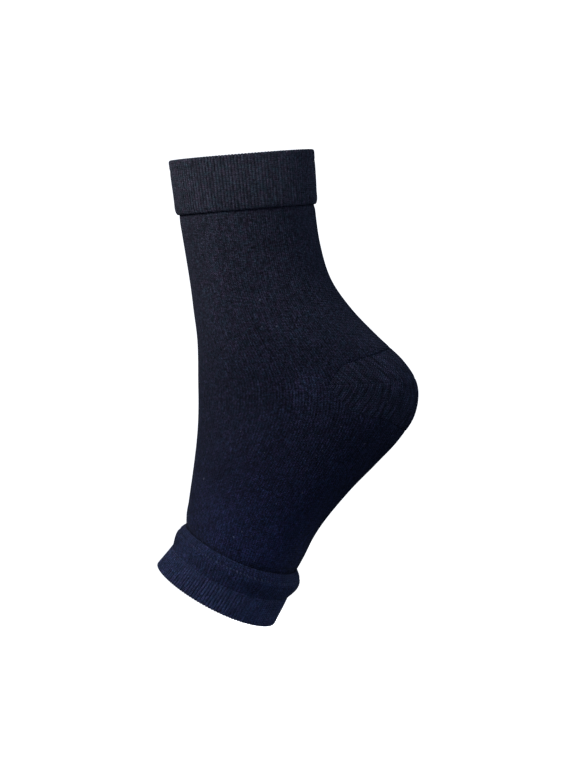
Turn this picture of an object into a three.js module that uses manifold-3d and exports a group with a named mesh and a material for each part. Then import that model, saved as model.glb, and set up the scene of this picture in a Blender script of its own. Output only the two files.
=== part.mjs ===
// Open-toe compression sock, in the shape it has when worn on a pointed foot.
// Millimetres. +Z runs up the leg, +X points to the heel, and the XZ plane divides the sock into equal sides.
// The origin is the centre of the wearer's ankle, on the centre line of the leg.
import * as THREE from "three";
import { mergeVertices } from "three/addons/utils/BufferGeometryUtils.js";
import Module from "manifold-3d";

// Sizes of the tube, measured over its outer face
const legHeight = 96; // ankle's centre up to the top rim
const legDepth = 76; // front to back at the top rim
const legWidth = 69; // side to side at the top rim
const instepReach = 46; // leg's centre line forward to the instep, where the foot part ends
const heelReach = 85; // leg's centre line back to the tip of the heel
const footDrop = 130; // ankle's centre down to the sole, where the foot part ends
const footWidth = 83; // side to side at that end

// Sizes of the knitted pieces
const sleeveWall = 1.2; // one layer of knit
const heelWall = 1.5; // the heel is knitted a little thicker
const cuffHeight = 29.5;
const cuffWall = 2.8; // two layers, folded at the top rim
const rollHeight = 14; // gathered cloth between the foot part and the toe band
const rollSwell = 2.8; // how far the roll stands out of the foot, on average
const rollSag = 0.26; // share by which it stands out more under the sole and less over the instep
const bandHeight = 15;
const bandWall = 2.2; // two layers, folded at the toe rim
const seamGap = 0.3; // between neighbouring pieces

// How finely the cloth is divided
const pointsAround = 44;
const rowsPerSection = 2;

// Sections of the leg from the top rim down. The plane of each is level.
// height is a share of legHeight, front and back are shares of legDepth, width is a share of legWidth.
// widest says how far back the widest place is, as a share of the section's depth.
// roundFront and roundBack are exponents: 2 is an ellipse, and more is squarer.
const legSections = [
  { height: 1.0, front: 0.495, back: 0.5, width: 1.0, widest: 0.5, roundFront: 2.1, roundBack: 2.1 },
  { height: 0.84, front: 0.483, back: 0.496, width: 0.985, widest: 0.5, roundFront: 2.1, roundBack: 2.1 },
  { height: 0.69, front: 0.472, back: 0.492, width: 0.955, widest: 0.5, roundFront: 2.1, roundBack: 2.1 },
  { height: 0.47, front: 0.449, back: 0.508, width: 0.92, widest: 0.48, roundFront: 2.1, roundBack: 2.1 },
  { height: 0.27, front: 0.431, back: 0.563, width: 0.94, widest: 0.44, roundFront: 2.1, roundBack: 2.15 },
];

// Sections round the heel and along the foot. Each runs from the instep to the heel or sole.
// instepOut is a share of instepReach, heelOut of heelReach, instepDown and heelDown of footDrop.
// width is a share of footWidth, and so is sidesOn: how far the sides reach towards the toes past its plane.
const footSections = [
  {
    instepOut: 0.7, instepDown: -0.102, heelOut: 0.621, heelDown: -0.067,
    width: 0.825, widest: 0.4, roundFront: 2.1, roundBack: 2.2,
  },
  {
    instepOut: 0.691, instepDown: -0.004, heelOut: 0.767, heelDown: 0.052,
    width: 0.865, widest: 0.37, roundFront: 2.1, roundBack: 2.3,
  },
  {
    instepOut: 0.694, instepDown: 0.094, heelOut: 0.924, heelDown: 0.165,
    width: 0.87, widest: 0.36, roundFront: 2.1, roundBack: 2.35,
  },
  {
    instepOut: 0.705, instepDown: 0.173, heelOut: 1.0, heelDown: 0.273,
    width: 0.855, widest: 0.37, roundFront: 2.05, roundBack: 2.4,
  },
  {
    instepOut: 0.724, instepDown: 0.251, heelOut: 0.968, heelDown: 0.391,
    width: 0.85, widest: 0.39, roundFront: 2.0, roundBack: 2.4,
  },
  {
    instepOut: 0.754, instepDown: 0.329, heelOut: 0.855, heelDown: 0.487,
    width: 0.86, widest: 0.42, roundFront: 2.0, roundBack: 2.4,
  },
  {
    instepOut: 0.794, instepDown: 0.416, heelOut: 0.698, heelDown: 0.578,
    width: 0.885, widest: 0.46, roundFront: 2.0, roundBack: 2.4,
  },
  {
    instepOut: 0.85, instepDown: 0.522, heelOut: 0.505, heelDown: 0.689,
    width: 0.93, widest: 0.5, roundFront: 2.05, roundBack: 2.35, sidesOn: 0.01,
  },
  {
    instepOut: 0.927, instepDown: 0.647, heelOut: 0.298, heelDown: 0.833,
    width: 0.97, widest: 0.52, roundFront: 2.1, roundBack: 2.3, sidesOn: 0.025,
  },
  {
    instepOut: 1.0, instepDown: 0.772, heelOut: 0.138, heelDown: 0.999,
    width: 1.0, widest: 0.52, roundFront: 2.1, roundBack: 2.25, sidesOn: 0.037,
  },
];

// Sections of the toe end after the foot's last one: the seam between roll and band, then the toe rim.
// instepOn and soleOn are shares of the roll's or the band's height.
// instepOut and soleOut are shares of half the foot's last depth, width and sidesOn of footWidth.
const toeEndSections = [
  {
    instepOn: 0.94, soleOn: 1.07, instepOut: 1.07, soleOut: 1.04,
    width: 1.01, widest: 0.52, roundFront: 2.1, roundBack: 2.1, sidesOn: 0.042,
  },
  {
    instepOn: 0.88, soleOn: 1.12, instepOut: 1.19, soleOut: 1.01,
    width: 1.02, widest: 0.53, roundFront: 2.1, roundBack: 2.1, sidesOn: 0.03,
  },
];

// Outer faces of the thick pieces: along is a share of the height, out a share of what stands out there
const cuffProfile = [
  { along: 0, out: 0.25 },
  { along: 0.025, out: 0.75 },
  { along: 0.07, out: 0.98 },
  { along: 0.3, out: 0.9 },
  { along: 0.6, out: 0.95 },
  { along: 0.88, out: 1.05 },
  { along: 0.96, out: 0.9 },
  { along: 1, out: 0.45 },
];
const rollProfile = [
  { along: 0, out: 0.12 },
  { along: 0.12, out: 0.45 },
  { along: 0.28, out: 0.88 },
  { along: 0.45, out: 1 },
  { along: 0.62, out: 0.9 },
  { along: 0.8, out: 0.5 },
  { along: 0.93, out: 0.16 },
  { along: 1, out: 0 },
];
const bandProfile = [
  { along: 0, out: 0 },
  { along: 0.35, out: 0 },
  { along: 0.7, out: 0 },
  { along: 0.92, out: -0.12 },
  { along: 1, out: -0.42 },
];

// The heel pocket from the side, from its point by the ankle: back is a share of heelReach, down of footDrop.
// The last two corners lie outside the sock, so that the cut runs right through.
const heelOutline = [
  { back: 0.425, down: 0.222 },
  { back: 0.475, down: 0.272 },
  { back: 0.585, down: 0.34 },
  { back: 0.68, down: 0.368 },
  { back: 0.785, down: 0.392 },
  { back: 0.91, down: 0.46 },
  { back: 1.15, down: 0.6 },
  { back: 1.15, down: 0.06 },
  { back: 0.8, down: 0.107 },
  { back: 0.7, down: 0.12 },
  { back: 0.61, down: 0.132 },
  { back: 0.52, down: 0.152 },
];

const wasm = await Module();
wasm.setup();

// A section is a row of the tables above in millimetres, with its front and back points in the XZ plane.
function legSection({ height, front, back, width, ...form }) {
  return {
    frontX: -front * legDepth,
    frontZ: height * legHeight,
    backX: back * legDepth,
    backZ: height * legHeight,
    width: width * legWidth,
    sidesOn: 0,
    ...form,
  };
}

function footSection({ instepOut, instepDown, heelOut, heelDown, width, ...form }) {
  return {
    frontX: -instepOut * instepReach,
    frontZ: -instepDown * footDrop,
    backX: heelOut * heelReach,
    backZ: -heelDown * footDrop,
    width: width * footWidth,
    sidesOn: 0,
    ...form,
  };
}

// A section past the foot's end, set out along the toe axis, which is square to the foot's last section.
function toeSection(footEnd, frontOn, backOn, { instepOut, soleOut, width, ...form }) {
  const instep = new THREE.Vector2(footEnd.frontX, footEnd.frontZ);
  const sole = new THREE.Vector2(footEnd.backX, footEnd.backZ);
  const middle = instep.clone().add(sole).multiplyScalar(0.5);
  const across = sole.clone().sub(instep);
  const halfDepth = across.length() / 2;
  across.normalize();
  const toeward = new THREE.Vector2(across.y, -across.x);
  const place = (out, on) =>
    middle.clone().addScaledVector(across, out * halfDepth).addScaledVector(toeward, on);
  const front = place(-instepOut, frontOn);
  const back = place(soleOut, backOn);
  return {
    frontX: front.x,
    frontZ: front.y,
    backX: back.x,
    backZ: back.y,
    width: width * footWidth,
    ...form,
  };
}

const tubeSections = [...legSections.map(legSection), ...footSections.map(footSection)];
const footEnd = tubeSections.at(-1);
const [seamSection, rimSection] = toeEndSections;
const seamFront = seamSection.instepOn * rollHeight;
const seamBack = seamSection.soleOn * rollHeight;
const rimFront = seamFront + rimSection.instepOn * bandHeight;
const rimBack = seamBack + rimSection.soleOn * bandHeight;
const toeSections = [
  footEnd,
  toeSection(footEnd, seamFront, seamBack, seamSection),
  toeSection(footEnd, rimFront, rimBack, rimSection),
];

// One column of a section table at place v, on a Catmull-Rom curve through its rows. v counts rows from 0.
function columnAt(sections, key, v) {
  const last = sections.length - 1;
  const i = THREE.MathUtils.clamp(Math.floor(v), 0, last - 1);
  const t = v - i;
  const b = sections[i][key];
  const c = sections[i + 1][key];
  const a = i > 0 ? sections[i - 1][key] : 2 * b - c;
  const d = i + 2 <= last ? sections[i + 2][key] : 2 * c - b;
  return b + 0.5 * t * (c - a + t * (2 * a - 5 * b + 4 * c - d + t * (3 * (b - c) + d - a)));
}

function sectionAt(sections, v) {
  const column = (key) => columnAt(sections, key, v);
  return {
    front: new THREE.Vector3(column("frontX"), 0, column("frontZ")),
    back: new THREE.Vector3(column("backX"), 0, column("backZ")),
    halfWidth: column("width") / 2,
    widest: column("widest"),
    roundFront: column("roundFront"),
    roundBack: column("roundBack"),
    sidesOn: column("sidesOn") * footWidth,
  };
}

// A point of the tube's outer face. A section is two half ovals that meet at its widest place.
// Angle 0 is the front.
function outerPoint(sections, v, angle) {
  const { front, back, halfWidth, widest, roundFront, roundBack, sidesOn } = sectionAt(sections, v);
  const across = back.clone().sub(front);
  const toeward = new THREE.Vector3(across.z, 0, -across.x).normalize();
  const forward = Math.cos(angle);
  const sideways = Math.sin(angle);
  const round = forward > 0 ? roundFront : roundBack;
  const reach = forward > 0 ? widest : 1 - widest;
  const size = (Math.abs(forward) ** round + Math.abs(sideways) ** round) ** (-1 / round);
  return front
    .addScaledVector(across, widest - reach * size * forward)
    .addScaledVector(toeward, sidesOn * sideways ** 2)
    .add(new THREE.Vector3(0, -halfWidth * size * sideways, 0));
}

// A point at a distance out of the outer face, or into the cloth if negative, in its section's plane.
function facePoint(sections, v, angle, distance) {
  const step = 1e-3;
  const here = outerPoint(sections, v, angle);
  const round = outerPoint(sections, v, angle + step).sub(outerPoint(sections, v, angle - step));
  const down = outerPoint(sections, v + step, angle).sub(outerPoint(sections, v - step, angle));
  const outward = down.cross(round).normalize();
  const { front, back } = sectionAt(sections, v);
  const planeNormal = back.sub(front).normalize().cross(new THREE.Vector3(0, 1, 0));
  const inPlane = outward.addScaledVector(planeNormal, -outward.dot(planeNormal));
  return here.addScaledVector(inPlane, distance / inPlane.lengthSq());
}

// A closed ring of cloth round the leg or foot. Its rows run from the top edge to the bottom edge.
// Each row has a place v, and outer and inner are functions of the angle. They give how far its two faces
// lie out of the tube's outer face.
function clothRing(sections, rows) {
  const outerRows = rows.map(({ v, outer }) => ({ v, distance: outer }));
  const innerRows = rows.map(({ v, inner }) => ({ v, distance: inner })).reverse();
  const loop = [...outerRows, ...innerRows];
  const positions = [];
  for (const { v, distance } of loop) {
    for (let k = 0; k < pointsAround; k++) {
      const angle = (2 * Math.PI * k) / pointsAround;
      positions.push(...facePoint(sections, v, angle, distance(angle)));
    }
  }
  const indices = [];
  for (let i = 0; i < loop.length; i++) {
    const next = (i + 1) % loop.length;
    for (let k = 0; k < pointsAround; k++) {
      const beside = (k + 1) % pointsAround;
      const corners = [i, next].map((row) => [row * pointsAround + k, row * pointsAround + beside]);
      indices.push(corners[0][0], corners[1][0], corners[1][1], corners[0][0], corners[1][1], corners[0][1]);
    }
  }
  const geometry = new THREE.BufferGeometry();
  geometry.setAttribute("position", new THREE.Float32BufferAttribute(positions, 3));
  geometry.setIndex(indices);
  return geometry;
}

// The place v that lies a given distance further down the sock's centre line than v.
function movedAlong(sections, v, distance) {
  const middle = (at) => {
    const { front, back } = sectionAt(sections, at);
    return front.add(back).multiplyScalar(0.5);
  };
  const step = 1e-3;
  return v + (distance * 2 * step) / middle(v + step).distanceTo(middle(v - step));
}

// The place v on the leg at a height over the ankle's centre, found by halving. The leg's sections are level.
function placeAtHeight(height) {
  let above = 0;
  let below = legSections.length - 1;
  for (let turn = 0; turn < 40; turn++) {
    const middle = (above + below) / 2;
    if (columnAt(tubeSections, "frontZ", middle) > height) above = middle;
    else below = middle;
  }
  return above;
}

// Rows of a piece whose outer face follows a profile, between two places.
function profileRows(profile, top, bottom, outer, inner) {
  return profile.map(({ along, out }) => ({
    v: top + along * (bottom - top),
    outer: (angle) => outer(out, angle),
    inner: () => inner(along),
  }));
}

function tubeShell(top, bottom, wall) {
  const count = Math.ceil((bottom - top) * rowsPerSection);
  const rows = [];
  for (let i = 0; i <= count; i++) {
    rows.push({ v: top + ((bottom - top) * i) / count, outer: () => 0, inner: () => -wall });
  }
  return clothRing(tubeSections, rows);
}

// The outline moved outwards by a distance, each corner along the bisector of its two edges.
function outsetOutline(points, distance) {
  const count = points.length;
  return points.map((point, i) => {
    const edgeNormal = (from, to) => new THREE.Vector2(to.y - from.y, from.x - to.x).normalize();
    const before = edgeNormal(points[(i + count - 1) % count], point);
    const after = edgeNormal(point, points[(i + 1) % count]);
    const shift = before.clone().add(after).multiplyScalar(distance / (1 + before.dot(after)));
    return point.clone().add(shift);
  });
}

// A block through both sides of the sock with the heel pocket's side outline, grown by a margin.
function heelBlock(margin) {
  const corners = heelOutline.map(({ back, down }) => new THREE.Vector2(back * heelReach, -down * footDrop));
  const thickness = 2 * footWidth;
  const block = new THREE.ExtrudeGeometry(new THREE.Shape(outsetOutline(corners, margin)), {
    depth: thickness,
    bevelEnabled: false,
  });
  return block.translate(0, 0, -thickness / 2).rotateX(Math.PI / 2);
}

function toSolid(geometry) {
  const bare = geometry.clone();
  bare.deleteAttribute("normal");
  bare.deleteAttribute("uv");
  const merged = mergeVertices(bare, 1e-4);
  return new wasm.Manifold(
    new wasm.Mesh({
      numProp: 3,
      vertProperties: merged.attributes.position.array,
      triVerts: new Uint32Array(merged.index.array),
    }),
  );
}

function toGeometry(solid) {
  const { vertProperties, triVerts } = solid.getMesh();
  const geometry = new THREE.BufferGeometry();
  geometry.setAttribute("position", new THREE.BufferAttribute(vertProperties, 3));
  geometry.setIndex(new THREE.BufferAttribute(triVerts, 1));
  return geometry;
}

const topRim = 0;
const cuffBottom = placeAtHeight(legHeight - cuffHeight);
const sleeveTop = movedAlong(tubeSections, cuffBottom, seamGap);
const sleeveBottom = tubeSections.length - 1;
const rollTop = movedAlong(toeSections, 0, seamGap);
const rollBottom = 1;
const bandTop = movedAlong(toeSections, rollBottom, seamGap);
const toeRim = toeSections.length - 1;

function ankleCuff() {
  const proud = cuffWall - sleeveWall;
  return clothRing(
    tubeSections,
    profileRows(cuffProfile, topRim, cuffBottom, (out) => out * proud, () => -sleeveWall),
  );
}

// The leg and foot are one knitted tube with an opening at the back, which the heel pocket fills.
function legFootSleeve() {
  const tube = toSolid(tubeShell(sleeveTop, sleeveBottom, sleeveWall));
  return toGeometry(tube.subtract(toSolid(heelBlock(seamGap))));
}

function heelPocket() {
  const tube = toSolid(tubeShell(sleeveTop, sleeveBottom, heelWall));
  return toGeometry(tube.intersect(toSolid(heelBlock(0))));
}

function toeRoll() {
  const swell = (out, angle) => out * rollSwell * (1 - rollSag * Math.cos(angle));
  const inner = (along) => -THREE.MathUtils.lerp(sleeveWall, bandWall, along);
  return clothRing(toeSections, profileRows(rollProfile, rollTop, rollBottom, swell, inner));
}

function toeBand() {
  return clothRing(
    toeSections,
    profileRows(bandProfile, bandTop, toeRim, (out) => out * bandWall, () => -bandWall),
  );
}

const knitColour = 0x1c1f2c;
const ribColour = 0x22252f;
const toeColour = 0x181d30;

function knittedPiece(name, geometry, color) {
  const material = new THREE.MeshStandardMaterial({ color, roughness: 0.95, metalness: 0 });
  const mesh = new THREE.Mesh(geometry, material);
  mesh.name = name;
  return mesh;
}

const sock = new THREE.Group();
sock.add(
  knittedPiece("ankle_cuff", ankleCuff(), ribColour),
  knittedPiece("leg_foot_sleeve", legFootSleeve(), knitColour),
  knittedPiece("heel_pocket", heelPocket(), knitColour),
  knittedPiece("toe_roll", toeRoll(), toeColour),
  knittedPiece("toe_band", toeBand(), toeColour),
);

export default sock;
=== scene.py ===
import math

import bpy
import numpy as np
from mathutils import Matrix, Vector


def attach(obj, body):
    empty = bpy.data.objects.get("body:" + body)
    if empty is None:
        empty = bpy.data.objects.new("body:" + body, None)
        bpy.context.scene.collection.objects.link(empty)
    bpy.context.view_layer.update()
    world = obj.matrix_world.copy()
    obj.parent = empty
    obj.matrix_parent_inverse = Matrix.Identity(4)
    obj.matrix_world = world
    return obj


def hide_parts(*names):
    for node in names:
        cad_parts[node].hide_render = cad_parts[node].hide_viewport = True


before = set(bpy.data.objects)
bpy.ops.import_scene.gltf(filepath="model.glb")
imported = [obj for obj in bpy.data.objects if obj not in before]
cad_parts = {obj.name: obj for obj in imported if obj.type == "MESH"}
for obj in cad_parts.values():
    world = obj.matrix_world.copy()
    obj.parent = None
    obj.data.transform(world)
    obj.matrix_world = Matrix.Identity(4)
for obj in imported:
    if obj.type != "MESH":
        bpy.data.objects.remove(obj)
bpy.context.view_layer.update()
mm = 0.001

# The tube that the sock follows, with the same sizes and sections as its solids
tubeSizes = {
    "legHeight": 96 * mm,
    "legDepth": 76 * mm,
    "legWidth": 69 * mm,
    "instepReach": 46 * mm,
    "heelReach": 85 * mm,
    "footDrop": 130 * mm,
    "footWidth": 83 * mm,
    "rollHeight": 14 * mm,
    "bandHeight": 15 * mm,
}
legColumns = ("height", "front", "back", "width", "widest", "roundFront", "roundBack")
legRows = [
    (1.0, 0.495, 0.5, 1.0, 0.5, 2.1, 2.1),
    (0.84, 0.483, 0.496, 0.985, 0.5, 2.1, 2.1),
    (0.69, 0.472, 0.492, 0.955, 0.5, 2.1, 2.1),
    (0.47, 0.449, 0.508, 0.92, 0.48, 2.1, 2.1),
    (0.27, 0.431, 0.563, 0.94, 0.44, 2.1, 2.15),
]
footColumns = (
    "instepOut", "instepDown", "heelOut", "heelDown",
    "width", "widest", "roundFront", "roundBack", "sidesOn",
)
footRows = [
    (0.7, -0.102, 0.621, -0.067, 0.825, 0.4, 2.1, 2.2, 0),
    (0.691, -0.004, 0.767, 0.052, 0.865, 0.37, 2.1, 2.3, 0),
    (0.694, 0.094, 0.924, 0.165, 0.87, 0.36, 2.1, 2.35, 0),
    (0.705, 0.173, 1.0, 0.273, 0.855, 0.37, 2.05, 2.4, 0),
    (0.724, 0.251, 0.968, 0.391, 0.85, 0.39, 2.0, 2.4, 0),
    (0.754, 0.329, 0.855, 0.487, 0.86, 0.42, 2.0, 2.4, 0),
    (0.794, 0.416, 0.698, 0.578, 0.885, 0.46, 2.0, 2.4, 0),
    (0.85, 0.522, 0.505, 0.689, 0.93, 0.5, 2.05, 2.35, 0.01),
    (0.927, 0.647, 0.298, 0.833, 0.97, 0.52, 2.1, 2.3, 0.025),
    (1.0, 0.772, 0.138, 0.999, 1.0, 0.52, 2.1, 2.25, 0.037),
]
toeColumns = ("instepOn", "soleOn", "instepOut", "soleOut", "width", "widest", "sidesOn")
seamRow = (0.94, 1.07, 1.07, 1.04, 1.01, 0.52, 0.042)
rimRow = (0.88, 1.12, 1.19, 1.01, 1.02, 0.53, 0.03)
toeRoundness = 2.1


def legSection(row):
    s = dict(zip(legColumns, row))
    depth, height = tubeSizes["legDepth"], s["height"] * tubeSizes["legHeight"]
    return {
        "front": (-s["front"] * depth, height),
        "back": (s["back"] * depth, height),
        "width": s["width"] * tubeSizes["legWidth"],
        "form": (s["widest"], s["roundFront"], s["roundBack"], 0),
    }


def footSection(row):
    s = dict(zip(footColumns, row))
    drop, width = tubeSizes["footDrop"], tubeSizes["footWidth"]
    return {
        "front": (-s["instepOut"] * tubeSizes["instepReach"], -s["instepDown"] * drop),
        "back": (s["heelOut"] * tubeSizes["heelReach"], -s["heelDown"] * drop),
        "width": s["width"] * width,
        "form": (s["widest"], s["roundFront"], s["roundBack"], s["sidesOn"] * width),
    }


def toeSection(end, row, frontOn, backOn):
    s = dict(zip(toeColumns, row))
    front, back = np.array(end["front"]), np.array(end["back"])
    middle, across = (front + back) / 2, back - front
    half = np.hypot(*across) / 2
    across = across / (2 * half)
    toeward = np.array([across[1], -across[0]])
    return {
        "front": middle - across * s["instepOut"] * half + toeward * frontOn,
        "back": middle + across * s["soleOut"] * half + toeward * backOn,
        "width": s["width"] * tubeSizes["footWidth"],
        "form": (s["widest"], toeRoundness, toeRoundness, s["sidesOn"] * tubeSizes["footWidth"]),
    }


def tubeOf(sections):
    return np.array([[*s["front"], *s["back"], s["width"] / 2, *s["form"]] for s in sections])


mainSections = [legSection(row) for row in legRows] + [footSection(row) for row in footRows]
footEnd = mainSections[-1]
roll, band = tubeSizes["rollHeight"], tubeSizes["bandHeight"]
seamFront, seamBack = seamRow[0] * roll, seamRow[1] * roll
rimFront, rimBack = seamFront + rimRow[0] * band, seamBack + rimRow[1] * band
mainTube = tubeOf(mainSections)
toeTube = tubeOf([
    footEnd,
    toeSection(footEnd, seamRow, seamFront, seamBack),
    toeSection(footEnd, rimRow, rimFront, rimBack),
])


def columnsAt(tube, v):
    # A Catmull-Rom curve through the rows b and c, with a and d beside them:
    # b + t/2 (c - a + t (2a - 5b + 4c - d + t (3(b - c) + d - a)))
    padded = np.concatenate([[2 * tube[0] - tube[1]], tube, [2 * tube[-1] - tube[-2]]])
    i = np.clip(np.floor(v).astype(int), 0, len(tube) - 2)
    t = (v - i)[..., None]
    a, b, c, d = (padded[i + k] for k in range(4))
    return b + 0.5 * t * (c - a + t * (2 * a - 5 * b + 4 * c - d + t * (3 * (b - c) + d - a)))


def outerFace(tube, v, angle):
    # Two half ovals that meet at the widest place, with p the exponent of each half:
    # x = widest - reach size cos, y = -half width size sin, size = (|cos|^p + |sin|^p)^(-1/p)
    v, angle = np.broadcast_arrays(v, angle)
    columns = np.moveaxis(columnsAt(tube, v), -1, 0)
    frontX, frontZ, backX, backZ, half, widest, roundFront, roundBack, sidesOn = columns
    forward, sideways = np.cos(angle), np.sin(angle)
    p = np.where(forward > 0, roundFront, roundBack)
    reach = np.where(forward > 0, widest, 1 - widest)
    size = (np.abs(forward) ** p + np.abs(sideways) ** p) ** (-1 / p)
    share = widest - reach * size * forward
    acrossX, acrossZ = backX - frontX, backZ - frontZ
    on = sidesOn * sideways**2 / np.hypot(acrossX, acrossZ)
    x = frontX + acrossX * share + acrossZ * on
    z = frontZ + acrossZ * share - acrossX * on
    return np.stack([x, -half * size * sideways, z], -1)


def normals(tube, v, angle):
    step = 1e-3
    down = outerFace(tube, v + step, angle) - outerFace(tube, v - step, angle)
    around = outerFace(tube, v, angle + step) - outerFace(tube, v, angle - step)
    outward = np.cross(down, around)
    return outward / np.linalg.norm(outward, axis=-1, keepdims=True)


def evenAngles(tube, v, u):
    # The angle at which the share u of a section's length round from the front is reached
    places = np.linspace(0, len(tube) - 1, 30 * (len(tube) - 1) + 1)
    dense = np.linspace(0, 2 * np.pi, 721)
    points = outerFace(tube, places[:, None], dense[None, :])
    length = np.cumsum(np.linalg.norm(np.diff(points, axis=1), axis=-1), axis=1)
    length = np.concatenate([np.zeros((len(places), 1)), length], axis=1)
    table = np.array([np.interp(u * row[-1], row, dense) for row in length])
    at = np.clip(v / places[1], 0, len(places) - 1.001)
    i, columns = np.floor(at).astype(int), np.arange(len(u))
    return table[i, columns] * (1 - at + i) + table[i + 1, columns] * (at - i)


def lengthDown(tube, v):
    # The distance down the centre line from the tube's top to the place v
    places = np.linspace(0, len(tube) - 1, 400)
    columns = columnsAt(tube, places)
    middle = (columns[:, 0:2] + columns[:, 2:4]) / 2
    run = np.concatenate([[0], np.cumsum(np.hypot(*np.diff(middle, axis=0).T))])
    return np.interp(v, places, run)


def placeDown(tube, distance):
    places = np.linspace(0, len(tube) - 1, 400)
    return np.interp(distance, lengthDown(tube, places), places)


# Meshes from grids of points
def meshPiece(name, points, faces, uvs, material):
    # points is n x 3, faces m x 4, uvs m x 4 x 2: one place in the knit for each corner of each face
    used, compact = np.unique(faces, return_inverse=True)
    compact = compact.reshape(-1, 4)
    mesh = bpy.data.meshes.new(name)
    mesh.vertices.add(len(used))
    mesh.vertices.foreach_set("co", points[used].astype(np.float32).ravel())
    mesh.loops.add(compact.size)
    mesh.loops.foreach_set("vertex_index", compact.astype(np.int32).ravel())
    mesh.polygons.add(len(compact))
    mesh.polygons.foreach_set("loop_start", np.arange(0, compact.size, 4, dtype=np.int32))
    mesh.polygons.foreach_set("use_smooth", np.ones(len(compact), bool))
    mesh.update(calc_edges=True)
    mesh.uv_layers.new(name="knit").data.foreach_set("uv", uvs.astype(np.float32).ravel())
    mesh.materials.append(material)
    piece = bpy.data.objects.new(name, mesh)
    bpy.context.scene.collection.objects.link(piece)
    return piece


def gridFaces(index, uv):
    # index holds the points' numbers in rows down and columns round, uv a place in the knit for each
    corners = (index[:-1, :-1], index[1:, :-1], index[1:, 1:], index[:-1, 1:])
    places = (uv[:-1, :-1], uv[1:, :-1], uv[1:, 1:], uv[:-1, 1:])
    return np.stack(corners, -1).reshape(-1, 4), np.stack(places, 2).reshape(-1, 4, 2)


def closedRound(index):
    return np.concatenate([index, index[:, :1]], axis=1)


def ringPiece(name, rows, wales, courses, material):
    # rows is k x n x 3: down the outer face and back up the inner face, which closes on itself
    count, around = rows.shape[:2]
    index = closedRound(np.arange(count * around).reshape(count, around))
    index = np.concatenate([index, index[:1]])
    u = np.linspace(0, wales, around + 1)
    uv = np.stack(np.broadcast_arrays(u[None, :], courses[:, None]), -1)
    faces, places = gridFaces(index, uv)
    return meshPiece(name, rows.reshape(-1, 3), faces, places, material)


def endRound(distance, radius):
    # A quarter circle: 0 at the edge, 1 from the radius on
    return np.sqrt(np.clip(1 - (1 - np.clip(distance / radius, 0, 1)) ** 2, 0, 1))


def swell(distance, width):
    # A bell curve: 1 at no distance, exp(-(distance / width)^2) further off
    return np.exp(-(distance / width) ** 2)


def ribs(u, count, depth, power=3):
    # Round crests and narrow grooves: -depth |2 p - 1|^power, with p the place in the rib
    return -depth * np.abs(2 * np.mod(u * count, 1) - 1) ** power


def waves(u, down, seed, size):
    # Slow waves round and down the cloth, about this size: five sines, the k-th 1/k as high,
    # each with its own turns round, its own pitch down and its own start
    total = 0
    for k in range(1, 6):
        around, along, start = 1 + (k * seed) % 4, 26 * k + 9 * seed, k * seed * 1.7
        bend = 0.6 * np.sin(40 * down + k)
        total = total + np.sin(2 * np.pi * around * u + start + along * down + bend) / k
    return size * total / 2.3


# Knitted cloth as a material
def nodeMaker(tree):
    def make(kind, inputs=(), out=0, **settings):
        node = tree.nodes.new("ShaderNode" + kind)
        for key, value in settings.items():
            setattr(node, key, value)
        for place, value in dict(inputs).items():
            if isinstance(value, bpy.types.NodeSocket):
                tree.links.new(value, node.inputs[place])
            else:
                node.inputs[place].default_value = value
        return node.outputs[out] if len(node.outputs) else None

    def calc(operation, a, b=0.0):
        return make("Math", {0: a, 1: b}, operation=operation)

    return make, calc


knitNoises = {
    "fibre": {"Scale": 1100.0, "Detail": 2.0, "Roughness": 0.7},
    "heather": {"Scale": 420.0, "Detail": 2.0, "Roughness": 0.7},
    "mottle": {"Scale": 760.0, "Detail": 0.0},
    "patches": {"Scale": 75.0, "Detail": 3.0, "Roughness": 0.6},
    "lint": {"Scale": 560.0, "Detail": 1.0},
}
heatherColours = (0.78, 1.08, 1.0, 1), (1.22, 0.92, 1.0, 1)
lintColour = (0.05, 0.05, 0.06)
fibreDepth = 0.12 * mm


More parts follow.
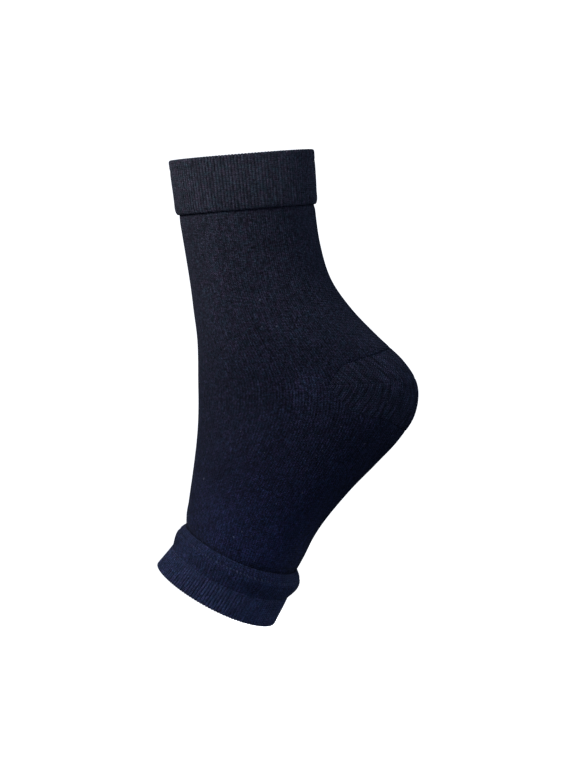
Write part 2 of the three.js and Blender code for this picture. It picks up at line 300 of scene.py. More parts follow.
def knitMaterial(settings):
    material = bpy.data.materials.new(settings["name"])
    material.use_nodes = True
    tree = material.node_tree
    tree.nodes.clear()
    make, calc = nodeMaker(tree)
    place = make("TexCoord", out=3)
    across = make("SeparateXYZ", {0: make("UVMap", uv_map="knit")})
    down = tree.nodes[-1].outputs[1]

    # Stitches are stacked Vs: side is 0 in the middle of a wale and 1 in the gap beside it
    side = calc("MULTIPLY", calc("ABSOLUTE", calc("SUBTRACT", calc("FRACT", across), 0.5)), 2.0)
    course = calc("SUBTRACT", down, calc("MULTIPLY", side, 0.6))
    loop = calc("ADD", calc("MULTIPLY", calc("SINE", calc("MULTIPLY", course, 2 * math.pi)), 0.28), 0.72)
    offLeg = calc("MULTIPLY", calc("ABSOLUTE", calc("SUBTRACT", side, 0.35)), 1.5)
    leg = calc("SUBTRACT", 1.0, calc("POWER", offLeg, 2.0))
    stitch = calc("MULTIPLY", leg, loop)
    noise = {name: make("TexNoise", {"Vector": place, **look}) for name, look in knitNoises.items()}
    threads = make("CombineXYZ", {0: calc("MULTIPLY", across, 0.8), 1: calc("MULTIPLY", down, 0.12)})
    noise["streaks"] = make("TexNoise", {"Vector": threads, "Scale": 1.0, "Detail": 1.0})

    # The colour changes up the sock: darker and bluer lower down as painted shade, lighter and greyer
    # higher up as a painted highlight; the noises make it lighter and darker
    height = make("SeparateXYZ", {0: place}, out=2)
    share = make("MapRange", {0: height, 1: settings["from"], 2: settings["to"], 3: 0.0, 4: 1.0})
    ramp = make("ValToRGB", {0: share})
    stops = tree.nodes[-1].color_ramp.elements
    stops[0].color = (*settings["low"], 1)
    stops[1].color = (*settings["high"], 1)
    stops.new(settings["middleAt"]).color = (*settings["middle"], 1)
    # The stitch pattern darkens the colour in the gaps between the legs and loops and lightens the legs:
    # painted shade in the gaps and a painted highlight on the legs
    light = calc("ADD", calc("MULTIPLY", stitch, settings["contrast"]), 1 - 0.7 * settings["contrast"])
    for name, setting in (("fibre", "fuzz"), ("streaks", "streaks"), ("mottle", "mottle")):
        least, most = 1 - settings[setting], 1 + settings[setting]
        shade = make("MapRange", {0: noise[name], 1: 0.32, 2: 0.68, 3: least, 4: most})
        light = calc("MULTIPLY", light, shade)
    light = calc("MULTIPLY", light, calc("ADD", calc("MULTIPLY", noise["patches"], 0.7), 0.65))

    # Painted highlights: round spots over the ankle bone and the heel are made a little lighter
    sideOn = make("VectorMath", {0: place, 1: (1, 0, 1)}, operation="MULTIPLY")
    for x, z, radius, amount in settings["paintedHighlights"]:
        away = make("VectorMath", {0: sideOn, 1: (x, 0, z)}, 1, operation="DISTANCE")
        falling = {0: away, 1: 0.0, 2: radius, 3: amount, 4: 0.0}
        near = make("MapRange", falling, interpolation_type="SMOOTHSTEP")
        light = calc("MULTIPLY", light, calc("ADD", near, 1.0))
    mixed = make("ValToRGB", {0: make("MapRange", {0: noise["heather"], 1: 0.35, 2: 0.65})})
    stops = tree.nodes[-1].color_ramp.elements
    stops[0].color, stops[1].color = heatherColours
    # The height ramp's painted shade and highlight, times the heather mix
    yarnWithPaintedShade = make("VectorMath", {0: ramp, 1: mixed}, operation="MULTIPLY")
    colour = make("VectorMath", {0: yarnWithPaintedShade, 3: light}, operation="SCALE")
    specks = make("MapRange", {0: noise["lint"], 1: 0.755, 2: 0.81, 3: 0.0, 4: settings["lint"]})
    white = make("VectorMath", {0: lintColour, 3: specks}, operation="SCALE")
    colour = make("VectorMath", {0: colour, 1: white})

    relief = make("Bump", {"Strength": 0.9, "Distance": settings["stitchDepth"], "Height": stitch})
    fuzz = {"Strength": 0.5, "Distance": fibreDepth, "Height": noise["fibre"], "Normal": relief}
    relief = make("Bump", fuzz)
    cloth = make("BsdfPrincipled", {
        "Base Color": colour,
        "Roughness": 0.92,
        "Specular IOR Level": 0.06,
        "Sheen Weight": settings["sheen"],
        "Sheen Roughness": 0.55,
        "Sheen Tint": (*settings["sheenTint"], 1),
        "Normal": relief,
    })
    make("OutputMaterial", {0: cloth})
    return material


# The colour ramp's heights and middle colour for all knits; each knit's low and high colours below give
# painted shade low on the sock and a painted highlight high on it
knitRange = {
    "from": -110 * mm, "to": 90 * mm, "middle": (0.0068, 0.0080, 0.0212), "middleAt": 0.2,
    "mottle": 0.28,
    # Round painted highlights over the ankle bone and the heel: x, z, radius and amount of each
    "paintedHighlights": [(27 * mm, -28 * mm, 16 * mm, 0.5), (69 * mm, -30 * mm, 9 * mm, 0.4)],
}
plainKnit = knitMaterial({
    **knitRange, "name": "plain_knit", "low": (0.0092, 0.0118, 0.036), "high": (0.0222, 0.0230, 0.0338),
    "contrast": 1.2, "fuzz": 0.8, "streaks": 0.25, "stitchDepth": 0.45 * mm, "lint": 1.0,
    "sheen": 0.05, "sheenTint": (0.5, 0.56, 0.8),
})
heelKnit = knitMaterial({
    **knitRange, "name": "heel_knit", "low": (0.0105, 0.0125, 0.035), "high": (0.028, 0.0295, 0.046),
    "middle": (0.0132, 0.0148, 0.030), "mottle": 0.1,
    "contrast": 1.42, "fuzz": 0.55, "streaks": 0.6, "stitchDepth": 0.65 * mm, "lint": 0.8,
    "sheen": 0.05, "sheenTint": (0.5, 0.56, 0.8),
})
ribbedKnit = knitMaterial({
    **knitRange, "name": "ribbed_knit", "low": (0.012, 0.016, 0.036), "high": (0.0245, 0.0255, 0.036),
    "contrast": 1.0, "fuzz": 0.85, "streaks": 0.25, "stitchDepth": 0.4 * mm, "lint": 0.8,
    "mottle": 0.14, "sheen": 0.06, "sheenTint": (0.55, 0.6, 0.8),
})
rollKnit = knitMaterial({
    **knitRange, "name": "roll_knit", "low": (0.0110, 0.0148, 0.039), "high": (0.019, 0.0205, 0.033),
    "contrast": 1.1, "fuzz": 0.8, "streaks": 0.25, "stitchDepth": 0.45 * mm, "lint": 0.9,
    "mottle": 0.08, "sheen": 0.05, "sheenTint": (0.5, 0.56, 0.85),
})
toeRibKnit = knitMaterial({
    **knitRange, "name": "toe_rib_knit", "low": (0.0145, 0.0188, 0.0455), "high": (0.019, 0.0205, 0.033),
    "contrast": 0.9, "fuzz": 0.8, "streaks": 0.25, "stitchDepth": 0.35 * mm, "lint": 0.8,
    "mottle": 0.1, "sheen": 0.06, "sheenTint": (0.5, 0.57, 0.85),
})
# The linking stitches are the same yarn made lighter: a painted highlight for the bright specks along the
# lit ridge
stitchYarn = knitMaterial({
    **knitRange, "name": "stitch_yarn", "low": (0.03, 0.034, 0.06), "high": (0.03, 0.034, 0.06),
    "contrast": 0.5, "fuzz": 0.8, "streaks": 0.1, "stitchDepth": 0.1 * mm, "lint": 0.8,
    "sheen": 0.06, "sheenTint": (0.5, 0.57, 0.85),
})
print("materials made")

sleeveWall = 1.2 * mm
bandWall = 2.2 * mm
cuffHeight = 29.5 * mm
joinGap = 0.06 * mm  # between the foot, the roll and the band


# The cuff at the top: ribs run down it, and it is folded at both edges
cuffLook = {
    "wall": 2.8 * mm,
    "ribCount": 132,
    "columnsPerRib": 8,
    "ribDepth": 0.38 * mm,
    "rimNotch": 0.35 * mm,
    "rimRadius": 1.3 * mm,
    "foldRadius": 4.5 * mm,
    "rimNotchReach": 0.8 * mm,
    "footSwell": 3 * mm,
    "footClear": 0.3 * mm,
    "clearFrom": 25.6 * mm,
    "clearOver": 0.8 * mm,
    "weltDown": 6 * mm,
    "weltDepth": 0.22 * mm,
    "weltWidth": 0.9 * mm,
    "courseHeight": 1.0 * mm,
    "wavesSize": 0.35 * mm,
}


def ankleCuff():
    look = cuffLook
    proud = look["wall"] - sleeveWall
    nearRim, nearFoot = [0, 0.12, 0.4, 0.8, 1.4, 2.2], [27.4, 28.1, 28.6, 29.0, 29.3, 29.5]
    down = np.concatenate([nearRim, np.linspace(3.2, 26.5, 20), nearFoot]) * mm
    v = placeDown(mainTube, down)[:, None]
    count = look["ribCount"] * look["columnsPerRib"]
    u = np.arange(count) / count
    angle = evenAngles(mainTube, v, u)
    up = (cuffHeight - down)[:, None]
    rim = endRound(down[:, None], look["rimRadius"])
    fold = endRound(up, look["foldRadius"])
    foot = swell(up - look["footSwell"], look["footSwell"])
    out = proud * (0.96 * (0.35 + 0.65 * rim) * (0.1 + 0.9 * fold) + 0.1 * foot)
    welt = look["weltDepth"] * swell(down[:, None] - look["weltDown"], look["weltWidth"])
    relief = ribs(u[None, :], look["ribCount"], look["ribDepth"]) * np.minimum(rim, fold)
    relief = relief + waves(u[None, :], down[:, None], 3, look["wavesSize"]) - welt
    outer = outerFace(mainTube, v, angle) + normals(mainTube, v, angle) * (out + relief)[..., None]
    notch = ribs(u, look["ribCount"], look["rimNotch"], 2)
    outer[..., 2] += notch * np.exp(-down / look["rimNotchReach"])[:, None]

    # Its foot stands clear of the leg, which runs up under it
    innerDown = np.array([29.4, 28.6, 27.6, 26.4, 25.6, 24, 18, 12, 6, 2, 0.5, 0.1]) * mm
    v = placeDown(mainTube, innerDown)[:, None]
    angle = evenAngles(mainTube, v, u)
    ease = endRound(innerDown, look["rimRadius"])[:, None]
    clear = np.clip((innerDown - look["clearFrom"]) / look["clearOver"], 0, 1)[:, None]
    inside = -sleeveWall * (0.4 + 0.6 * ease) * (1 - clear) + look["footClear"] * clear
    inner = outerFace(mainTube, v, angle) + normals(mainTube, v, angle) * inside[..., None]
    inner[..., 2] += notch * np.exp(-innerDown / look["rimNotchReach"])[:, None]
    runs = np.concatenate([down, 2 * cuffHeight - innerDown, [2 * cuffHeight + 0.5 * mm]])
    rows, courses = np.concatenate([outer, inner]), runs / look["courseHeight"]
    piece = ringPiece("ankle_cuff_knit", rows, look["ribCount"], courses, ribbedKnit)
    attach(piece, "root")
    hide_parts("ankle_cuff")


ankleCuff()
print("ankle cuff made")


# The heel pocket's edges as seen from the side, from its point by the ankle to the back of the heel
heelUpper = np.array([
    (36.1, -28.9), (44.2, -19.8), (51.9, -17.2), (59.5, -15.6), (68, -13.9), (98, -7.8),
]) * mm
heelLower = np.array([
    (36.1, -28.9), (40.4, -35.4), (49.7, -44.2), (57.8, -47.8), (66.7, -51), (77.4, -59.8), (98, -78),
]) * mm
heelSuture = np.array([(36.1, -28.9), (60, -30.4), (85, -31)]) * mm


def smoothLine(points):
    # The edge as a Catmull-Rom curve, read as its height at a distance back
    curve = columnsAt(points, np.linspace(0, len(points) - 1, 120))
    return lambda x: np.interp(x, curve[:, 0], curve[:, 1])


upperEdge, lowerEdge, suture = smoothLine(heelUpper), smoothLine(heelLower), smoothLine(heelSuture)
heelPoint = heelUpper[0]
heelPlaces = np.linspace(4, 12, 1601)  # down the tube, from above the pocket to below it


def heelCrossings(u):
    # For each column u, the places where it enters and leaves the heel pocket
    v = heelPlaces[:, None]
    points = outerFace(mainTube, v, evenAngles(mainTube, v, u))
    x, z = points[..., 0], points[..., 2]
    inside = (x > heelPoint[0]) & (z < upperEdge(x)) & (z > lowerEdge(x))
    hit = inside.any(0)
    enter = heelPlaces[np.argmax(inside, 0)]
    leave = heelPlaces[len(heelPlaces) - 1 - np.argmax(inside[::-1], 0)]
    return hit, enter, leave


def edgeDistance(points):
    # How far a point lies from the pocket's edge, seen from the side
    x = np.linspace(heelPoint[0], 90 * mm, 70)
    line = np.concatenate([np.stack([x, upperEdge(x)], -1), np.stack([x, lowerEdge(x)], -1)])
    flat = points[..., (0, 2)].reshape(-1, 2)
    best = np.full(len(flat), 1.0)
    for corner in line:
        best = np.minimum(best, np.hypot(*(flat - corner).T))
    return best.reshape(points.shape[:-1])


# The leg and foot: one plain knitted tube, with an opening at the back for the heel pocket
sleeveLook = {
    "wales": 184,
    "columnsPerWale": 4,
    "waleDepth": 0.3 * mm,
    "courseHeight": 0.9 * mm,
    "upperRows": 58,
    "lowerRows": 42,
    "innerUpperRows": 12,
    "innerLowerRows": 10,
    "crowding": 1.25,
    "lap": 3 * mm,
    "cuffGroove": 0.5 * mm,
    "cuffGrooveWidth": 1.6 * mm,
    "rollGroove": 0.35 * mm,
    "rollGrooveWidth": 2.2 * mm,
    "foldHeight": 0.45 * mm,
    "foldUp": 9 * mm,
    "foldWidth": 4 * mm,
    "heelGroove": 0.2 * mm,
    "heelGrooveWidth": 0.8 * mm,
    "wavesSize": 0.5 * mm,
    "wavesFrom": 50 * mm,
}


def sleeveRelief(points, u, down, toEnd):
    # Wales and waves, grooves at the cuff, the roll and the heel, and a soft fold above the roll
    look = sleeveLook
    relief = look["waleDepth"] * (np.cos(2 * np.pi * u * look["wales"]) - 1) / 2
    relief = relief + waves(u, down, 2, look["wavesSize"]) * np.clip(down / look["wavesFrom"], 0.3, 1)
    relief = relief - look["cuffGroove"] * swell(down - look["lap"], look["cuffGrooveWidth"])
    groove = look["rollGroove"] * (1 - 0.8 * np.sin(2 * np.pi * u) ** 2)
    relief = relief - groove * swell(toEnd, look["rollGrooveWidth"])
    fold = look["foldHeight"] * (0.6 + 0.4 * np.cos(2 * np.pi * (u - 0.2)))
    relief = relief + fold * swell(toEnd - look["foldUp"], look["foldWidth"])
    return relief - look["heelGroove"] * swell(edgeDistance(points), look["heelGrooveWidth"])


def legFootSleeve():
    look = sleeveLook
    count = look["wales"] * look["columnsPerWale"]
    u = np.arange(count) / count
    hit, enter, leave = heelCrossings(u)
    middle = (enter[hit][0] + leave[hit][0]) / 2
    top = placeDown(mainTube, cuffHeight - look["lap"])
    bottom = len(mainTube) - 1
    enter = np.where(hit, enter, middle)
    leave = np.where(hit, leave, middle)
    start = lengthDown(mainTube, top)
    end = lengthDown(mainTube, bottom)

    # Rows lie closer together towards the heel, which is below the upper part and above the lower one
    def upperPart(rows):
        share = 1 - (1 - np.linspace(0, 1, look[rows])[:, None]) ** look["crowding"]
        return top + (enter - top) * share

    def lowerPart(rows):
        return leave + (bottom - leave) * np.linspace(0, 1, look[rows])[:, None] ** look["crowding"]

    def face(v, inner=False):
        angle = evenAngles(mainTube, v, u)
        points = outerFace(mainTube, v, angle)
        along = lengthDown(mainTube, v)
        out = -sleeveWall if inner else sleeveRelief(points, u[None, :], along - start, end - along)
        return points + normals(mainTube, v, angle) * np.broadcast_to(out, v.shape)[..., None], along

    upper, upperRun = face(upperPart("upperRows"))
    lower, lowerRun = face(lowerPart("lowerRows"))
    innerUpper, innerUpperRun = face(upperPart("innerUpperRows"), inner=True)
    innerLower, innerLowerRun = face(lowerPart("innerLowerRows"), inner=True)
    grids = [upper, lower, innerUpper, innerLower]
    sizes = [len(grid) * count for grid in grids]
    starts = np.concatenate([[0], np.cumsum(sizes)])[:4]
    index = [start + np.arange(size).reshape(-1, count) for start, size in zip(starts, sizes)]
    index[1][0] = np.where(hit, index[1][0], index[0][-1])
    index[3][0] = np.where(hit, index[3][0], index[2][-1])
    wales = np.arange(count + 1) / look["columnsPerWale"]

    def knit(run):
        run = closedRound(run) / look["courseHeight"]
        return np.stack([np.broadcast_to(wales, run.shape), run], -1)

    runs = [knit(run) for run in (upperRun, lowerRun, innerUpperRun, innerLowerRun)]
    parts = [gridFaces(closedRound(index[k]), runs[k]) for k in (0, 1)]
    parts += [gridFaces(closedRound(index[k])[::-1], runs[k][::-1]) for k in (2, 3)]

    def edge(a, aRuns, b, bRuns):
        return gridFaces(closedRound(np.stack([a, b])), np.stack([aRuns, bRuns]))

    parts.append(edge(index[2][0], runs[2][0], index[0][0], runs[0][0]))
    parts.append(edge(index[1][-1], runs[1][-1], index[3][-1], runs[3][-1]))
    opening = np.flatnonzero(hit)
    opening = slice(opening[0] - 1, opening[-1] + 2)
    for outer, inner in ((index[0][-1], index[2][-1]), (index[3][0], index[1][0])):
        ends = np.stack([outer[opening], inner[opening]])
        parts.append(gridFaces(ends, np.zeros((*ends.shape, 2))))
    faces = np.concatenate([part[0] for part in parts])
    places = np.concatenate([part[1] for part in parts])
    points = np.concatenate([grid.reshape(-1, 3) for grid in grids])
    piece = meshPiece("leg_foot_knit", points, faces, places, plainKnit)
    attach(piece, "root")
    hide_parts("leg_foot_sleeve")


legFootSleeve()
print("leg and foot made")


# The heel pocket: its wales lean away from the seam across the heel
heelLook = {
    "wall": 1.5 * mm,
    "columns": 520,
    "rows": 64,
    "rowShift": 0.045,
    "margin": 0.005,
    "walePitch": 1.5 * mm,
    "waleDepth": 0.42 * mm,
    "courseHeight": 0.95 * mm,
    "edgeGroove": 0.12 * mm,
    "edgeGrooveWidth": 0.7 * mm,
    "seamGroove": 0.25 * mm,
    "seamGrooveWidth": 0.6 * mm,
    "lean": 0.75,
    "leanLost": 0.7,
}


def heelPocket():
    look = heelLook
    fine = np.linspace(0.1, 0.9, 1601)
    hit, enter, leave = heelCrossings(fine)
    wide = fine[hit & (leave - enter > 0.02)]
    u = np.linspace(wide[0], wide[-1], look["columns"])
    top = np.interp(u, fine[hit], enter[hit]) + look["margin"]
    bottom = np.interp(u, fine[hit], leave[hit]) - look["margin"]
    share = np.linspace(0, 1, look["rows"])[:, None]
    share = share - look["rowShift"] * np.sin(4 * np.pi * share)  # closer at the edges and the seam
    v = top + (bottom - top) * share
    angle = evenAngles(mainTube, v, u)
    points = outerFace(mainTube, v, angle)
    outward = normals(mainTube, v, angle)

    # A wale's place is its distance round from the heel's point, and more the further it is from the seam
    seamLine = points[look["rows"] // 2]
    around = np.concatenate([[0], np.cumsum(np.linalg.norm(np.diff(seamLine, axis=0), axis=-1))])
    around = np.minimum(around, around[-1] - around)
    fromSeam = points[..., 2] - suture(points[..., 0])
    share = around / around.max()
    lean = look["lean"] * (1 - look["leanLost"] * share)
    lean = lean * np.sin(np.pi / 2 * np.clip((1 - share) / 0.4, 0, 1))
    wale = (around + lean * np.abs(fromSeam)) / look["walePitch"]
    relief = look["waleDepth"] * (np.cos(2 * np.pi * wale) - 1) / 2
    relief = relief - look["edgeGroove"] * swell(edgeDistance(points), look["edgeGrooveWidth"])
    relief = relief - look["seamGroove"] * swell(fromSeam, look["seamGrooveWidth"])
    outer = points + outward * relief[..., None]
    inner = points - outward * look["wall"]
    knit = np.stack([wale, fromSeam / look["courseHeight"]], -1)
    front = np.arange(outer[..., 0].size).reshape(outer.shape[:2])
    back = front + front.size
    parts = [gridFaces(front, knit), gridFaces(back[::-1], knit[::-1])]
    edges = (
        (back[0], front[0], knit[0]),
        (front[-1], back[-1], knit[-1]),
        (front[:, 0], back[:, 0], knit[:, 0]),
        (back[:, -1], front[:, -1], knit[:, -1]),
    )
    for a, b, place in edges:
        parts.append(gridFaces(np.stack([a, b]), np.stack([place, place])))
    faces = np.concatenate([part[0] for part in parts])
    places = np.concatenate([part[1] for part in parts])
    piece = meshPiece("heel_knit", np.concatenate([outer, inner]).reshape(-1, 3), faces, places, heelKnit)
    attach(piece, "root")
    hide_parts("heel_pocket")


heelPocket()
print("heel pocket made")


# The gathered roll between the foot and the toe band
rollLook = {
    "height": 2.8 * mm,
    "sag": 0.26,
    "sideShare": 0.72,
    "wales": 140,
    "columnsPerWale": 6,
    "waleDepth": 0.42 * mm,
    "courseHeight": 0.9 * mm,
    "wavesSize": 0.5 * mm,
    "stitchedAt": 0.3,
    "stitchGroove": 0.5 * mm,
    "stitchGrooveWidth": 0.05,
}
rollTop = placeDown(toeTube, joinGap)


def rollFace(along, u):
    # The ridge is height sin(pi (0.04 + 0.96 along)^0.9)^e, with e 1.1 at front and back and 1.9 at the
    # sides, where it starts more softly. It is lower at the front by sag and at the sides by sideShare.
    look = rollLook
    v = rollTop + (1 - rollTop) * along
    angle = evenAngles(toeTube, v, u)
    ridge = np.sin(np.pi * (0.04 + 0.96 * along) ** 0.9) ** (1.1 + 0.8 * np.sin(angle) ** 2)
    out = look["height"] * ridge * (1 - look["sag"] * np.cos(angle))
    out = out * (1 - (1 - look["sideShare"]) * np.sin(angle) ** 2)
    out = out + waves(u[None, :], along * roll, 5, look["wavesSize"]) * ridge
    out = out - look["stitchGroove"] * swell(along - look["stitchedAt"], look["stitchGrooveWidth"])
    outward = normals(toeTube, v, angle)
    return outerFace(toeTube, v, angle), outward, out


def toeRoll():
    look = rollLook
    count = look["wales"] * look["columnsPerWale"]
    u = np.arange(count) / count
    along = np.linspace(0, 1, 36)[:, None]
    points, outward, out = rollFace(along, u)
    wales = look["waleDepth"] * (np.cos(2 * np.pi * u * look["wales"]) - 1) / 2
    out = out + wales * (0.3 + 0.7 * along)
    outer = points + outward * out[..., None]
    innerAlong = np.linspace(1, 0, 8)[:, None]
    points, outward, out = rollFace(innerAlong, u)
    wall = sleeveWall + (bandWall - sleeveWall) * innerAlong
    inner = points - outward * np.broadcast_to(wall, out.shape)[..., None]
    courses = np.concatenate([along[:, 0], 2 - innerAlong[:, 0], [2]]) * roll / look["courseHeight"]
    rows = np.concatenate([outer, inner])
    piece = ringPiece("toe_roll_knit", rows, look["wales"], courses, rollKnit)
    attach(piece, "root")
    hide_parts("toe_roll")


toeRoll()
print("toe roll made")


# The ribbed band round the open toe, folded at the rim
bandLook = {
    "ribCount": 140,
    "columnsPerRib": 8,
    "ribDepth": 0.42 * mm,
    "ribFade": 4 * mm,
    "rimNotch": 0.3 * mm,
    "rimNotchReach": 0.8 * mm,
    "courseHeight": 1.0 * mm,
    "wavesSize": 0.3 * mm,
}
bandTop = 1 + joinGap / (lengthDown(toeTube, 2.0) - lengthDown(toeTube, 1.0))


def toeBand():
    look = bandLook
    count = look["ribCount"] * look["columnsPerRib"]
    u = np.arange(count) / count
    height = lengthDown(toeTube, 2.0) - lengthDown(toeTube, bandTop)
    nearRim = np.array([1.7, 1.2, 0.8, 0.45, 0.2, 0.05, 0]) * mm
    up = np.concatenate([np.linspace(height, 2.2 * mm, 22), nearRim])[:, None]

    def face(up, sign):
        # The outer face with sign 1, the inner with -1: they meet in a half circle at the rim
        v = 2 - (2 - bandTop) * up / height
        angle = evenAngles(toeTube, v, u)
        rim = endRound(up, bandWall / 2)
        out = (sign * rim - 1) * bandWall / 2
        if sign > 0:
            fade = np.clip((height - up) / look["ribFade"], 0.25, 1)
            out = out + ribs(u[None, :], look["ribCount"], look["ribDepth"]) * rim * fade
            out = out + waves(u[None, :], up, 4, look["wavesSize"])
        out = np.broadcast_to(out, angle.shape)[..., None]
        points = outerFace(toeTube, v, angle) + normals(toeTube, v, angle) * out
        notch = ribs(u, look["ribCount"], look["rimNotch"], 2) * np.exp(-up / look["rimNotchReach"])
        ahead = outerFace(toeTube, v + 0.01, angle) - outerFace(toeTube, v - 0.01, angle)
        ahead = ahead / np.linalg.norm(ahead, axis=-1, keepdims=True)
        return points + ahead * notch[..., None]

    innerNearRim = np.array([0.05, 0.2, 0.6, 1.2, 2.2]) * mm
    innerUp = np.concatenate([innerNearRim, np.linspace(5 * mm, height, 5)])[:, None]
    rows = np.concatenate([face(up, 1), face(innerUp, -1)])
    runs = np.concatenate([height - up[:, 0], height + innerUp[:, 0], [2 * height + 1 * mm]])
    piece = ringPiece("toe_band_knit", rows, look["ribCount"], runs / look["courseHeight"], toeRibKnit)
    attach(piece, "root")
    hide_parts("toe_band")


toeBand()
print("toe band made")


# The linking stitches that join the band to the foot, as short beads of yarn round the roll
stitchLook = {
    "count": 124,
    "length": 1.5 * mm,
    "thickness": 0.45 * mm,
    "slant": 0.9,
    "lift": 0.08 * mm,
    "uneven": 0.3,
}


def linkingStitches():
    look = stitchLook
    u = (np.arange(look["count"]) + 0.5) / look["count"]
    along = np.full((1, 1), rollLook["stitchedAt"])
    points, outward, out = rollFace(along, u)
    centre = (points + outward * (out + look["lift"])[..., None])[0]
    outward = outward[0]
    ahead, _, outAhead = rollFace(along + 0.03, u)
    down = (ahead[0] - points[0]) + outward * (outAhead - out)[0][:, None]
    down /= np.linalg.norm(down, axis=-1, keepdims=True)
    beside = np.cross(outward, down)
    run = down + beside * look["slant"]
    run /= np.linalg.norm(run, axis=-1, keepdims=True)
    beside = np.cross(outward, run)

    # A bead 2a long and 2b thick: centre + a cos(t) run + b sin(t) (cos(s) beside + sin(s) outward)
    t = np.linspace(0.12, math.pi - 0.12, 6)[:, None]
    s = np.arange(6) * (2 * math.pi / 6)
    a, b = look["length"] / 2, look["thickness"] / 2
    shape = (a * np.cos(t) + 0 * s, b * np.sin(t) * np.cos(s), b * np.sin(t) * np.sin(s))
    uneven = (1 + look["uneven"] * np.sin(2.4 * np.arange(look["count"]) ** 1.3))[:, None]
    axes = (run * uneven, beside * uneven, outward * uneven**2)
    beads = centre[:, None, None, :]
    for size, axis in zip(shape, axes):
        beads = beads + size[None, :, :, None] * axis[:, None, None, :]
    index = np.arange(beads[..., 0].size).reshape(beads.shape[:3])
    near, far = index[:, :-1], index[:, 1:]
    around = np.stack([near, far, np.roll(far, -1, 2), np.roll(near, -1, 2)], -1)

    # Two faces close each six-sided end
    firstEnd = index[:, 0][:, [[0, 1, 2, 3], [0, 3, 4, 5]]]
    lastEnd = index[:, -1][:, [[3, 2, 1, 0], [5, 4, 3, 0]]]
    faces = np.concatenate([part.reshape(-1, 4) for part in (around, firstEnd, lastEnd)])
    places = np.broadcast_to((0.5, 0.25), (len(faces), 4, 2))
    piece = meshPiece("linking_stitches", beads.reshape(-1, 3), faces, places, stitchYarn)
    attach(piece, "root")


linkingStitches()
print("linking stitches made")


# Floor, lights and camera
sweepLook = {
    "floor": -0.3,
    "wallStart": 1.1,
    "radius": 0.6,
    "reach": 8.0,
    "paint": 0.9,
    "glow": 0.95,
}
# Each light's place, aim, size, power, colour and spread in degrees
lights = {
    "key": ((-0.32, -0.35, 0.42), (0, 0, 0.01), 0.3, 2.9, (1.0, 0.98, 0.95), 180),
    "edge": ((-0.28, -0.1, 0.24), (-0.03, 0, 0.06), 0.15, 0.45, (0.98, 0.98, 1.0), 180),
    "low": ((-0.45, -0.45, -0.02), (-0.02, 0, -0.15), 0.2, 0.022, (0.8, 0.88, 1.0), 14),
    "toe": ((0.2, -0.6, -0.2), (0.02, 0, -0.17), 0.1, 0.009, (0.75, 0.86, 1.0), 8),
    "back": ((0, 0.95, 0.05), (0, 0, -0.02), 0.4, 3.5, (0.8, 0.88, 1.0), 180),
    "fill": ((0.4, -1.2, 0.7), (0, 0, -0.02), 1.2, 11, (0.68, 0.79, 1.0), 180),
}
worldLook = {"colour": (0.5, 0.65, 1.0), "strength": 0.15}


def sweep():
    # A floor that curves up into a wall: straight runs joined by a quarter circle
    look = sweepLook
    reach, radius, floor, wall = look["reach"], look["radius"], look["floor"], look["wallStart"]
    turn = np.linspace(0, math.pi / 2, 16)
    y = np.concatenate([[-reach], wall + radius * np.sin(turn), [wall + radius]])[:, None]
    z = np.concatenate([[floor], floor + radius * (1 - np.cos(turn)), [reach]])[:, None]
    points = np.stack(np.broadcast_arrays(np.array([[-reach, reach]]), y, z), -1)
    index = np.arange(len(y) * 2).reshape(-1, 2)[:, ::-1]
    material = bpy.data.materials.new("studio_sweep")
    material.use_nodes = True
    paint = material.node_tree.nodes["Principled BSDF"]
    paint.inputs["Base Color"].default_value = (look["paint"], look["paint"], look["paint"], 1)
    paint.inputs["Roughness"].default_value = 0.9
    paint.inputs["Emission Color"].default_value = (1, 1, 1, 1)
    paint.inputs["Emission Strength"].default_value = look["glow"]
    faces, places = gridFaces(index, np.zeros((*index.shape, 2)))
    backdrop = meshPiece("studio_sweep", points.reshape(-1, 3), faces, places, material)
    backdrop.visible_diffuse = False
    backdrop.visible_glossy = False


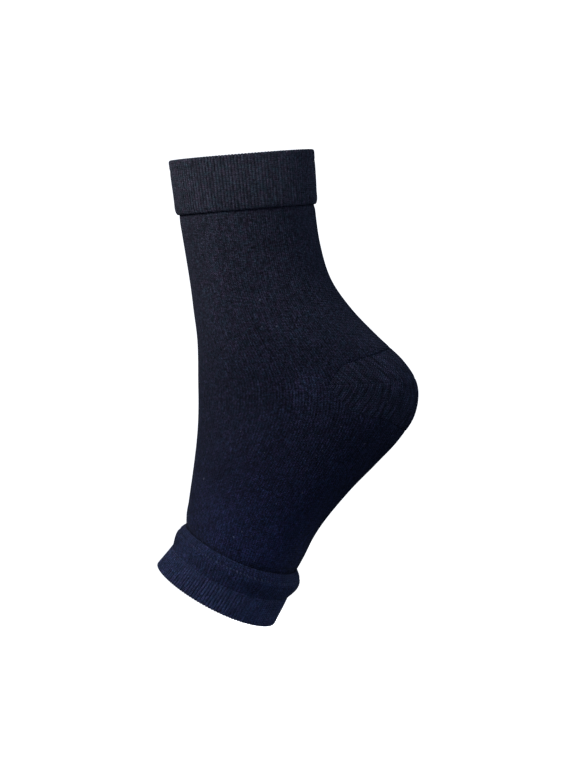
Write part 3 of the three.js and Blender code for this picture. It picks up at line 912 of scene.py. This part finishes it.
def softLight(name, place, aim, size, power, colour, spread):
    data = bpy.data.lights.new(name, "AREA")
    data.shape = "DISK"
    data.size = size
    data.energy = power
    data.color = colour
    data.spread = math.radians(spread)
    light = bpy.data.objects.new(name, data)
    light.location = place
    light.visible_camera = False
    light.rotation_euler = (Vector(aim) - Vector(place)).to_track_quat("-Z", "Y").to_euler()
    bpy.context.scene.collection.objects.link(light)


def studio():
    sweep()
    for name, settings in lights.items():
        softLight(name, *settings)
    world = bpy.data.worlds.new("studio")
    world.use_nodes = True
    world.node_tree.nodes["Background"].inputs[0].default_value = (*worldLook["colour"], 1)
    world.node_tree.nodes["Background"].inputs[1].default_value = worldLook["strength"]
    bpy.context.scene.world = world
    bpy.context.scene.view_settings.view_transform = "Standard"


# The photograph's view: the size of a pixel at the sock, and the pixel where the frame's origin shows
view = {
    "pixel": 0.54 * mm,
    "width": 576,
    "height": 768,
    "originPixel": (255.48, 333.0),
    "distance": 1.37,
    "sensor": 36,
    "elevation": math.radians(3.8),
    "roll": math.radians(4.64),
}


def camera():
    tilt, elevation = view["roll"], view["elevation"]
    cosTilt, sinTilt = math.cos(tilt), math.sin(tilt)
    right = (view["width"] / 2 - view["originPixel"][0]) * view["pixel"]
    down = (view["height"] / 2 - view["originPixel"][1]) * view["pixel"]
    aim = Vector((right * cosTilt - down * sinTilt, 0, -right * sinTilt - down * cosTilt))
    forward = Vector((0, math.cos(elevation), -math.sin(elevation)))
    across = Vector((1, 0, 0))
    up = across.cross(forward)
    turned = across * cosTilt - up * sinTilt, across * sinTilt + up * cosTilt
    data = bpy.data.cameras.new("camera")
    data.sensor_fit = "VERTICAL"
    data.sensor_height = view["sensor"]
    data.lens = view["sensor"] * view["distance"] / (view["height"] * view["pixel"])
    eye = bpy.data.objects.new("camera", data)
    axes = Matrix((turned[0], turned[1], -forward)).transposed().to_4x4()
    eye.matrix_world = Matrix.Translation(aim - forward * view["distance"]) @ axes
    bpy.context.scene.collection.objects.link(eye)
    bpy.context.scene.camera = eye


studio()
camera()
print("floor, lights and camera made")
